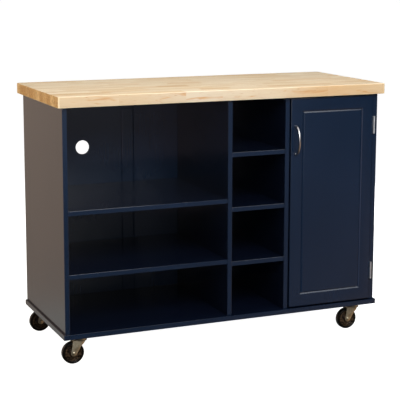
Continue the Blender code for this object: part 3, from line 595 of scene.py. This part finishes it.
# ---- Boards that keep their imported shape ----

def finish_board(node, material, arris=BOARD_ARRIS):
    """A packed board with its finish, and with its arrises eased by a small bevel."""
    thing = NODES[node]
    thing.data.materials.clear()
    thing.data.materials.append(MATERIALS[material])
    for polygon in thing.data.polygons:
        polygon.material_index = 0
    weld = thing.modifiers.new("weld", "WELD")
    weld.merge_threshold = 0.00001
    bevelled(thing, arris)


def finish_boards():
    """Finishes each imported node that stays, by its name."""
    for node in NODES:
        if node.startswith(("back_sheet", "back_stile")):
            finish_board(node, "navy_upright", BACK_ARRIS)
        elif node.startswith(("side_panel", "partition")):
            finish_board(node, "navy_upright")
        elif node.endswith("_shelf") or "_shelf_" in node or node in ("base_panel", "back_top_rail"):
            finish_board(node, "navy_level")
        elif node.startswith("shelf_pin") or node == "catch_strike_plate":
            finish_board(node, "hinge_steel")


# ---- Worktop ----

def make_worktop():
    """The block with rounded corners and eased edges."""
    low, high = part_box("worktop")
    size = high - low
    shape = bmesh.new()
    easing = eased(WORKTOP_ARRIS)
    levels = [(inset, low.z + rise) for inset, rise in easing]
    levels += [(inset, high.z - rise) for inset, rise in reversed(easing)]
    rings = []
    for inset, height in levels:
        outline = rounded_rectangle(size.x - 2 * inset, size.y - 2 * inset, WORKTOP_CORNER - inset, 8)
        rings.append(ring_of(shape, [(x, y + (low.y + high.y) / 2, height) for x, y in outline]))
    loft(shape, rings)
    top = piece_from("worktop_block", shape, "butcher_block", 40.0)
    stands_for(top, "worktop")


# ---- Door ----

def rectangle_ring(shape, low, high, inset, y):
    """A rectangle in a plane of constant Y, inset on all sides from the corners low and high."""
    return ring_of(shape, [(low.x + inset, y, low.z + inset), (high.x - inset, y, low.z + inset),
                           (high.x - inset, y, high.z - inset), (low.x + inset, y, high.z - inset)])


def groove_lip(inset, front, inward):
    """The three points that round a lip of the groove, from the flat face into the groove. inward is 1 where
    the groove lies on the side of growing inset, and -1 where it lies on the other."""
    steps = ((-1.0, 0.0), (-0.2, 0.15), (0.5, 0.5))
    return [(inset + inward * x * GROOVE_LIP, front + y * GROOVE_LIP) for x, y in steps]


def make_door_frame(low, high, width):
    """The two stiles and two rails as one mitred ring with eased edges."""
    front, back = low.y, high.y
    easing = eased(DOOR_ARRIS, 4)
    profile = [(width, back)]
    profile += [(inset, back - depth) for inset, depth in reversed(easing)]
    profile += [(inset, front + depth) for inset, depth in easing]
    profile += groove_lip(width - GROOVE_CHAMFER, front, 1)
    profile += [(width - GROOVE_GAP, front + GROOVE_FALL), (width, front + GROOVE_FALL + GROOVE_FOOT)]
    shape = bmesh.new()
    rings = [rectangle_ring(shape, low, high, inset, y) for inset, y in profile]
    for first, second in zip(rings, rings[1:] + rings[:1]):
        bridge(shape, first, second)
    door_frame = piece_from("door_frame", shape, "navy_upright", 30.0)
    stands_for(door_frame, "door_stile_left")
    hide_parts(*DOOR_MEMBERS)


def make_door():
    """The frame and the raised panel in it, with a V groove between them."""
    frame_low, stile_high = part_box("door_stile_left")
    frame_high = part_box("door_stile_right")[1]
    width = stile_high.x - frame_low.x
    make_door_frame(frame_low, frame_high, width)

    front = frame_low.y
    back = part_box("door_panel")[1].y
    low = Vector((frame_low.x + width, front, frame_low.z + width))
    high = Vector((frame_high.x - width, front, frame_high.z - width))
    profile = [(GROOVE_CHAMFER + 2.2 * GROOVE_LIP, front), *groove_lip(GROOVE_CHAMFER, front, -1),
               (PANEL_GAP, front + GROOVE_FALL), (PANEL_GAP, back)]
    shape = bmesh.new()
    rings = [rectangle_ring(shape, low, high, inset, y) for inset, y in profile]
    loft(shape, rings)
    panel = piece_from("door_raised_panel", shape, "navy_upright", 30.0)
    stands_for(panel, "door_panel")


# ---- Door pull ----

def pull_half(foot, apex):
    """The bow's centreline from a foot to its apex: out from the door, over a shoulder, along the bow."""
    out = Vector((foot.x, foot.y + (apex.y - foot.y) * 0.42, foot.z + (foot.z - apex.z) * 0.185))
    along = Vector((apex.x, apex.y, apex.z + (foot.z - apex.z) * 0.60))
    return interpolate_bezier(foot, out, along, apex, PULL_STEPS // 2 + 1)


def pull_section(share):
    """Half width and half thickness of the bow. share is 0 at a foot and 1 at the apex."""
    neck = math.exp(-((share - 0.20) / 0.16) ** 2)
    flare = math.exp(-(share / 0.055) ** 2)
    swell = math.sin(share * math.pi / 2)
    half_width = 0.0030 + 0.0010 * swell - 0.0006 * neck + 0.0010 * flare
    half_thickness = 0.0024 + 0.0003 * swell - 0.0003 * neck + 0.0010 * flare
    return half_width, half_thickness


def make_pull():
    """The bow, swept from its lower foot over its apex to its upper foot."""
    low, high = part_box("door_pull")
    middle = (low + high) / 2
    apex = Vector((middle.x, low.y + PULL_APEX_DEPTH, middle.z))
    halves = []
    for label in ("lower", "upper"):
        screw_low, screw_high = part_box(f"pull_screw_{label}")
        halves.append(pull_half(Vector((middle.x, high.y, (screw_low.z + screw_high.z) / 2)), apex))
    path = halves[0] + halves[1][-2::-1]
    last = len(path) - 1
    turns = [2 * math.pi * side / PULL_SIDES for side in range(PULL_SIDES)]
    across = Vector((1, 0, 0))
    shape = bmesh.new()
    rings = []
    for count, point in enumerate(path):
        tangent = (path[min(count + 1, last)] - path[max(count - 1, 0)]).normalized()
        if count in (0, last):
            tangent = Vector((0, -1 if count == 0 else 1, 0))
        outward = tangent.cross(across)
        half_width, half_thickness = pull_section(1 - abs(2 * count / last - 1))
        rings.append(ring_of(shape, [point + across * half_width * math.cos(t)
                                     + outward * half_thickness * math.sin(t) for t in turns]))
    loft(shape, rings)
    pull = piece_from("door_pull_bow", shape, "satin_nickel", 50.0)
    stands_for(pull, "door_pull")


# ---- Screws ----

def screw_mesh(name, radius, height):
    """A pan head about Z with its underside at 0 and a cross recess in its dome."""
    shape = bmesh.new()
    profile = [(0, 0), (radius, 0)]
    profile += [(radius * (0.55 + 0.45 * math.cos(t)), height * (0.25 + 0.75 * math.sin(t)))
                for t in quarter()]
    profile.append((0, height))
    lathe(shape, profile, segments=28)
    head = piece_from(f"{name}_blank", shape, "hinge_steel", 40.0)
    cutters = bmesh.new()
    arm = 0.52 * radius
    half = 0.11 * radius
    arms = [(arm, half), (half, half), (half, arm)]
    plus = [(x * math.cos(turn) - y * math.sin(turn), x * math.sin(turn) + y * math.cos(turn))
            for turn in (math.pi / 2 * count for count in range(4)) for x, y in arms]
    slab(cutters, plus, 0.45 * height, 1.6 * height)
    # The cross carries the dark painted-shade material into the recess it cuts.
    cross = piece_from(f"{name}_cross", cutters, "screw_recess_painted_shade", 40.0)
    cut = head.modifiers.new("recess", "BOOLEAN")
    cut.operation = "DIFFERENCE"
    cut.object = cross
    cut.material_mode = "TRANSFER"
    bpy.context.view_layer.update()
    mesh = bpy.data.meshes.new_from_object(head.evaluated_get(bpy.context.evaluated_depsgraph_get()))
    mesh.name = name
    for blank in (head, cross):
        bpy.data.objects.remove(blank, do_unlink=True)
    return mesh


def place_screw(name, mesh, point, direction, body):
    screw = bpy.data.objects.new(name, mesh)
    bpy.context.scene.collection.objects.link(screw)
    screw.matrix_world = Matrix.Translation(point) @ turn_to(direction)
    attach(screw, body)
    return screw


def make_back_screws():
    """Pan-head screws that hold the back's stiles and top rail."""
    mesh = screw_mesh("back_screw", *BACK_SCREW)
    rail_low, rail_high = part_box("back_top_rail")
    rear = rail_high.y
    rail_z = (rail_low.z + rail_high.z) / 2
    pitch = (rail_high.x - rail_low.x - 2 * BACK_SCREW_MARGIN) / (BACK_RAIL_SCREWS - 1)
    for count in range(BACK_RAIL_SCREWS):
        x = rail_low.x + BACK_SCREW_MARGIN + pitch * count
        place_screw(f"back_rail_screw_{count + 1}", mesh, (x, rear, rail_z), (0, 1, 0), "cabinet")
    for side in ("left", "right"):
        low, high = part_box(f"back_stile_{side}")
        x = (low.x + high.x) / 2
        for label, z in (("lower", low.z + STILE_SCREW_MARGIN), ("upper", high.z - STILE_SCREW_MARGIN)):
            place_screw(f"back_stile_screw_{side}_{label}", mesh, (x, rear, z), (0, 1, 0), "cabinet")


def make_pull_screws():
    """The pull's screws, with cross recesses in their heads, seen on the back of the door."""
    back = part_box("door_stile_left")[1].y
    for label in ("upper", "lower"):
        node = f"pull_screw_{label}"
        low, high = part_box(node)
        name = f"pull_screw_head_{label}"
        mesh = screw_mesh(name, (high.x - low.x) / 2, high.y - back)
        point = ((low.x + high.x) / 2, back + 0.0002, (low.z + high.z) / 2)
        screw = place_screw(name, mesh, point, (0, 1, 0), "door")
        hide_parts(node)


# ---- Hinges ----

def leaf_outline(front, low, high):
    """A leaf in (y, z) from its front edge back, with two rounded rear corners."""
    arc = quarter()
    rear = high.y - LEAF_CORNER
    outline = [(front, low.z), (rear, low.z)]
    outline += [(rear + LEAF_CORNER * math.sin(t), low.z + LEAF_CORNER - LEAF_CORNER * math.cos(t))
                for t in arc[1:]]
    outline += [(rear + LEAF_CORNER * math.cos(t), high.z - LEAF_CORNER + LEAF_CORNER * math.sin(t))
                for t in arc]
    return outline + [(front, high.z)]


def make_hinge_leaf(node, spans, pivot, radius, side, screw):
    """A leaf, its knuckles at the spans of Z, and its screws. side is 1 on the cabinet, -1 on the door."""
    low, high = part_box(node)
    shape = bmesh.new()
    plate_x = high.x - LEAF_THICKNESS if side > 0 else min(low.x, pivot.x - radius)
    front = pivot.y + radius + LEAF_CLEARANCE
    stand = Matrix(((0, 0, 1, 0), (1, 0, 0, 0), (0, 1, 0, 0), (0, 0, 0, 1)))
    slab(shape, leaf_outline(front, low, high), plate_x, plate_x + LEAF_THICKNESS, stand)
    edge = KNUCKLE_ARRIS
    reach = front + KNUCKLE_ROOT
    for bottom, top in spans:
        strip = [(pivot.y, bottom), (reach, bottom), (reach, top), (pivot.y, top)]
        slab(shape, strip, plate_x, plate_x + LEAF_THICKNESS, stand)
        profile = [(KNUCKLE_BORE, bottom), (radius - edge, bottom), (radius, bottom + edge),
                   (radius, top - edge), (radius - edge, top), (KNUCKLE_BORE, top)]
        lathe(shape, profile, Matrix.Translation((pivot.x, pivot.y, 0)), 32, closed=True)
    leaf = piece_from(node + "_plate", shape, "hinge_steel", 35.0)
    stands_for(leaf, node)
    seat_x = plate_x + 0.0001 if side > 0 else plate_x + LEAF_THICKNESS - 0.0001
    for count, row in enumerate((-1, 0, 1), start=1):
        seat = (seat_x, (front + high.y) / 2, (low.z + high.z) / 2 + row * HINGE_SCREW_SPACING)
        place_screw(f"{node}_screw_{count}", screw, seat, (-side, 0, 0), BODY_OF[node])


def make_hinge_pin(label, pivot):
    """A hinge's pin, with eased ends."""
    low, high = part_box(f"hinge_{label}_pin")
    radius = (high.x - low.x) / 2
    profile = [(0, low.z), (radius - PIN_ARRIS, low.z), (radius, low.z + PIN_ARRIS),
               (radius, high.z - PIN_ARRIS), (radius - PIN_ARRIS, high.z), (0, high.z)]
    shape = bmesh.new()
    lathe(shape, profile, Matrix.Translation((pivot.x, pivot.y, 0)), 24)
    pin = piece_from(f"hinge_{label}_pin_rod", shape, "hinge_steel", 35.0)
    stands_for(pin, f"hinge_{label}_pin")


def make_hinges():
    """Two butt hinges. The cabinet's leaf has a knuckle at each end, and the door's has the middle one."""
    pivot = Vector(JOINTS["door_hinge"]["pos_m"])
    screw = screw_mesh("hinge_screw", *HINGE_SCREW)
    for label in ("upper", "lower"):
        low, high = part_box(f"hinge_{label}_cabinet_leaf")
        radius = pivot.y - low.y
        third = (high.z - low.z) / 3
        outer = [(low.z, low.z + third - KNUCKLE_GAP), (high.z - third + KNUCKLE_GAP, high.z)]
        inner = [(low.z + third + KNUCKLE_GAP, high.z - third - KNUCKLE_GAP)]
        make_hinge_leaf(f"hinge_{label}_cabinet_leaf", outer, pivot, radius, 1, screw)
        make_hinge_leaf(f"hinge_{label}_door_leaf", inner, pivot, radius, -1, screw)
        make_hinge_pin(label, pivot)


# ---- Magnetic catch ----

def make_catch():
    """The catch's case, with its two steel pole plates."""
    low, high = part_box("magnetic_catch")
    size = high - low
    centre = (low + high) / 2
    shape = bmesh.new()
    outline = rounded_rectangle(size.x, size.z, CATCH_CORNER, 5)
    stand = Matrix(((1, 0, 0, centre.x), (0, 0, 1, 0), (0, 1, 0, centre.z), (0, 0, 0, 1)))
    slab(shape, outline, low.y + POLE_PROUD, high.y, stand)
    case = piece_from("magnetic_catch_case", shape, "catch_plastic", 35.0)
    bevelled(case, CATCH_ARRIS, 2, 60.0)
    stands_for(case, "magnetic_catch")
    thickness, share = POLE_SIZE
    bar = rounded_rectangle(thickness, size.z * share, POLE_CORNER, 3)
    for label, side in (("left", -1), ("right", 1)):
        shape = bmesh.new()
        bar_stand = stand.copy()
        bar_stand[0][3] = centre.x + side * size.x * POLE_OFFSET
        slab(shape, bar, low.y, low.y + POLE_DEPTH, bar_stand)
        pole = piece_from(f"magnetic_catch_pole_{label}", shape, "hinge_steel", 35.0)
        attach(pole, "cabinet")


# ---- Casters ----

def tangent_angle(point, centre, radius, side):
    """The direction, from a circle's centre, of the point where a line from point touches the circle."""
    away = Vector(point) - Vector(centre)
    return math.atan2(away.y, away.x) + math.acos(radius / away.length) * side


def leg_outline(trail, axle_z, top):
    """A fork's leg from the side, in (x, z) about the swivel axis: rear edge, eye, and edge up to the web.
    Also the slope of the edge that carries on along the web."""
    eye = Vector((-trail, axle_z))
    start = tangent_angle((FORK_BACK, top), eye, FORK_EYE, 1)
    end = tangent_angle(FORK_CORNER, eye, FORK_EYE, -1) + 2 * math.pi
    turns = [start + (end - start) * step / EYE_STEPS for step in range(EYE_STEPS + 1)]
    rounding = [tuple(eye + FORK_EYE * Vector((math.cos(t), math.sin(t)))) for t in turns]
    slope = (FORK_WEB_FOOT - FORK_CORNER[1]) / (FORK_OUTSIDE - FORK_CORNER[0])
    web_start = (0.0, FORK_CORNER[1] - FORK_CORNER[0] * slope)
    return [(FORK_BACK, top), *rounding, FORK_CORNER, web_start, (0.0, top)], slope


def make_fork(label, axis, axle_z, trail, top):
    """The pressed fork: one bent sheet for the legs and the web between them, thickened."""
    outline, slope = leg_outline(trail, axle_z, top)
    middle = FORK_INSIDE + FORK_SHEET / 2
    shape = bmesh.new()
    legs = {}
    for side in (-1, 1):
        legs[side] = ring_of(shape, [(x, side * middle, z) for x, z in outline])
        shape.faces.new(legs[side] if side < 0 else legs[side][::-1])
    previous = legs[-1][-2:]
    for step in range(1, WEB_STEPS + 1):
        turn = -math.pi / 2 + math.pi * step / WEB_STEPS
        x, y = middle * math.cos(turn), middle * math.sin(turn)
        foot_z = FORK_CORNER[1] + slope * (x - FORK_CORNER[0])
        column = legs[1][-2:] if step == WEB_STEPS else ring_of(shape, [(x, y, foot_z), (x, y, top)])
        shape.faces.new((previous[0], column[0], column[1], previous[1]))
        previous = column
    fork = piece_from(f"caster_{label}_fork_sheet", shape, "zinc_plate", 32.0)
    thick = fork.modifiers.new("sheet", "SOLIDIFY")
    thick.thickness = FORK_SHEET
    thick.offset = 0.0
    bevelled(fork, FORK_ARRIS, 3, 50.0)
    fork.location = (axis.x, axis.y, 0)
    stands_for(fork, f"caster_{label}_fork")


def make_crown(label, axis, top):
    """The fork's top: a plate between the legs and the web, and the round disc that turns under the race."""
    shape = bmesh.new()
    turns = [math.pi / 2 - math.pi * count / WEB_STEPS for count in range(WEB_STEPS + 1)]
    inside = FORK_OUTSIDE - 0.0004
    rear = FORK_BACK + 0.0002
    nose = [(inside * math.cos(t), inside * math.sin(t)) for t in turns]
    outline = [(rear, inside), *nose, (rear, -inside)]
    bottom = top - CROWN_THICKNESS
    slab(shape, outline, bottom, top - 0.0002)
    edge = CROWN_ARRIS
    lathe(shape, [(KINGPIN_HOLE, top), (CROWN_RADIUS - edge, top), (CROWN_RADIUS, top - edge),
                  (CROWN_RADIUS, bottom + edge), (CROWN_RADIUS - edge, bottom), (KINGPIN_HOLE, bottom)],
          None, 48, closed=True)
    crown = piece_from(f"caster_{label}_crown", shape, "zinc_plate", 32.0)
    crown.location = (axis.x, axis.y, 0)
    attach(crown, f"caster_{label}_fork")


def make_caster_plate(label, axis, screw):
    """The top plate with its race and kingpin, and the four screws up into the base."""
    node = f"caster_{label}_plate"
    low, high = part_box(node)
    size = high - low
    under = high.z - PLATE_THICKNESS
    shape = bmesh.new()
    levels = ((PLATE_ARRIS, under), (0.0, under + PLATE_ARRIS), (0.0, high.z))
    rings = []
    for inset, height in levels:
        plan = rounded_rectangle(size.x - 2 * inset, size.y - 2 * inset, PLATE_CORNER - inset)
        rings.append(ring_of(shape, [(x, y, height) for x, y in plan]))
    loft(shape, rings)
    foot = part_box(f"caster_{label}_fork")[1].z + RACE_GAP
    race = [(0, under + 0.0005), (0.0255, under + 0.0005), (0.0255, under - 0.0004),
            (0.0248, under - 0.0012), (0.0212, under - 0.0036), (0.0200, under - 0.0046),
            (0.0195, foot + 0.0006), (0.0189, foot), (0, foot)]
    kingpin = [(0, foot + 0.001), (0.0040, foot + 0.001), (0.0040, low.z + 0.0022),
               (0.0065, low.z + 0.0020), (0.0062, low.z + 0.0007), (0.0046, low.z), (0, low.z)]
    lathe(shape, race, None, 48)
    lathe(shape, kingpin, None, 32)
    plate = piece_from(f"caster_{label}_top_plate", shape, "zinc_plate", 32.0)
    plate.location = (axis.x, axis.y, 0)
    stands_for(plate, node)
    for count, (side_x, side_y) in enumerate(((-1, -1), (1, -1), (-1, 1), (1, 1)), start=1):
        point = (axis.x + side_x * PLATE_SCREW_OFFSET, axis.y + side_y * PLATE_SCREW_OFFSET, under)
        place_screw(f"caster_{label}_screw_{count}", screw, point, (0, 0, -1), "cabinet")


def make_axle(label, centre):
    """The axle: a domed rivet head outside one leg and a peened end outside the other."""
    node = f"caster_{label}_axle"
    low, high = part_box(node)
    half = (high.y - low.y) / 2
    radius = (high.x - low.x) / 2
    seat = FORK_OUTSIDE + 0.0001
    dome = half - seat
    head = [(radius * math.cos(t), seat + dome * math.sin(t)) for t in reversed(quarter(6)[:-1])]
    shank = [(AXLE_RADIUS, seat), (AXLE_RADIUS, -seat)]
    nut = radius * 0.96
    peened = [(nut, -seat), (nut, -seat - 0.7 * dome), (nut * 0.72, -half), (0, -half)]
    shape = bmesh.new()
    lathe(shape, [(0, half), *head, *shank, *peened], ALONG_Y, 32)
    axle = piece_from(f"caster_{label}_axle_rivet", shape, "zinc_plate", 35.0)
    axle.location = centre
    stands_for(axle, node)


def make_hub(label, centre):
    """The moulded hub: boss, recessed web and rim bead."""
    node = f"caster_{label}_wheel_hub"
    low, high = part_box(node)
    rim = (high.z - low.z) / 2
    boss = (high.y - low.y) / 2
    bead = boss - 0.001
    web = bead - 0.0036
    half_profile = [(HUB_BORE, boss), (0.0088, boss), (0.0095, boss - 0.0006), (0.0105, web + 0.0008),
                    (0.0120, web), (rim - 0.0062, web), (rim - 0.0050, web + 0.0010),
                    (rim - 0.0040, bead - 0.0004), (rim - 0.0030, bead), (rim - 0.0006, bead),
                    (rim, bead - 0.0006)]
    shape = bmesh.new()
    lathe(shape, mirrored(half_profile), ALONG_Y, 64, closed=True)
    hub = piece_from(f"caster_{label}_hub", shape, "wheel_hub", 30.0)
    hub.location = centre
    stands_for(hub, node)


def make_tyre(label, centre):
    """The tyre, with rounded shoulders and a slightly domed tread."""
    node = f"caster_{label}_tyre"
    low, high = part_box(node)
    radius = (high.z - low.z) / 2
    edge = (high.y - low.y) / 2
    rim_low, rim_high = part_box(f"caster_{label}_wheel_hub")
    inner = (rim_high.z - rim_low.z) / 2 + 0.0003
    shoulder_radius = radius - TYRE_CROWN - TYRE_SHOULDER
    rounding = [(shoulder_radius + TYRE_SHOULDER * math.sin(t), edge - TYRE_SHOULDER * (1 - math.cos(t)))
                for t in quarter(6)]
    half_profile = [(inner, edge - 0.0010), (inner + 0.0006, edge - 0.0004), (inner + 0.0016, edge),
                    *rounding, (radius, 0.0030)]
    shape = bmesh.new()
    lathe(shape, mirrored(half_profile), ALONG_Y, 72, closed=True)
    tyre = piece_from(f"caster_{label}_tyre_ring", shape, "tyre_rubber", 30.0)
    tyre.location = centre
    stands_for(tyre, node)


def make_casters():
    """The four casters, each about its own swivel and axle."""
    screw = screw_mesh("caster_screw", *CASTER_SCREW)
    for label in CASTERS:
        axis = Vector(JOINTS[f"caster_{label}_swivel"]["pos_m"])
        centre = Vector(JOINTS[f"caster_{label}_roll"]["pos_m"])
        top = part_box(f"caster_{label}_fork")[1].z
        make_caster_plate(label, axis, screw)
        make_fork(label, axis, centre.z, axis.x - centre.x, top)
        make_crown(label, axis, top)
        make_axle(label, centre)
        make_hub(label, centre)
        make_tyre(label, centre)


# ---- Studio ----

def make_softbox(name, place, target, size, watts, colour, in_gloss):
    """A flat light that faces its target."""
    light = bpy.data.lights.new(name, "AREA")
    light.shape = "RECTANGLE"
    light.size, light.size_y = size
    light.energy = watts
    light.color = colour
    lamp = bpy.data.objects.new(name, light)
    bpy.context.scene.collection.objects.link(lamp)
    lamp.location = place
    lamp.rotation_euler = (Vector(target) - lamp.location).to_track_quat("-Z", "Y").to_euler()
    lamp.visible_glossy = in_gloss


def make_studio():
    """The floor and the softboxes."""
    shape = bmesh.new()
    lathe(shape, [(0, 0.0), (FLOOR_RADIUS, 0.0)], None, 96)
    floor = piece_from("studio_floor", shape, "studio_floor")
    floor.visible_glossy = False
    for softbox in SOFTBOXES:
        make_softbox(*softbox)


def make_world():
    """White to the camera. To the surfaces, a dim room with the glows of WORLD_GLOWS."""
    world = bpy.data.worlds.new("studio")
    bpy.context.scene.world = world
    world.use_nodes = True
    world.node_tree.nodes.clear()
    nodes = Nodes(world.node_tree)
    place = nodes.place.outputs["Generated"]
    height = nodes.split(place)[2]
    colour = WORLD_BASE
    for direction, sharpness, glow, fade in WORLD_GLOWS:
        share = nodes.math("MAXIMUM", nodes.facing(place, direction), 0.0)
        share = nodes.math("POWER", share, sharpness)
        if fade is not None:
            share = nodes.math("MULTIPLY", share, nodes.step(height, *fade))
        colour = nodes.vector("MULTIPLY_ADD", share, glow, colour)
    room = nodes.feed_all(nodes.new("Background"), (colour,))
    seen = nodes.feed_all(nodes.new("Background"), ((1.0, 1.0, 1.0, 1.0),))
    is_camera = nodes.new("LightPath").outputs["Is Camera Ray"]
    blend = nodes.feed_all(nodes.new("MixShader"), (is_camera, room, seen))
    nodes.feed(nodes.new("OutputWorld").inputs["Surface"], blend)


def make_camera():
    """The camera, turned by yaw, pitch and roll from looking along +Y."""
    cosine = math.cos(CAMERA_PITCH)
    ahead = Vector((math.sin(CAMERA_YAW) * cosine, math.cos(CAMERA_YAW) * cosine, math.sin(CAMERA_PITCH)))
    level = Vector((math.cos(CAMERA_YAW), -math.sin(CAMERA_YAW), 0))
    upright = level.cross(ahead)
    right = math.cos(CAMERA_ROLL) * level + math.sin(CAMERA_ROLL) * upright
    up = math.cos(CAMERA_ROLL) * upright - math.sin(CAMERA_ROLL) * level
    data = bpy.data.cameras.new("camera")
    data.lens = LENS_MM
    data.sensor_width = SENSOR_MM
    data.shift_y = SHIFT_Y
    camera = bpy.data.objects.new("camera", data)
    bpy.context.scene.collection.objects.link(camera)
    turn = Matrix((right, up, -ahead)).transposed().to_4x4()
    camera.matrix_world = Matrix.Translation(CAMERA_PLACE) @ turn
    bpy.context.scene.camera = camera


finish_boards()
make_worktop()
make_door()
make_pull()
make_pull_screws()
make_back_screws()
make_hinges()
make_catch()
make_casters()
make_studio()
make_world()
make_camera()
bpy.context.scene.view_settings.view_transform = "Standard"

bpy.context.view_layer.update()
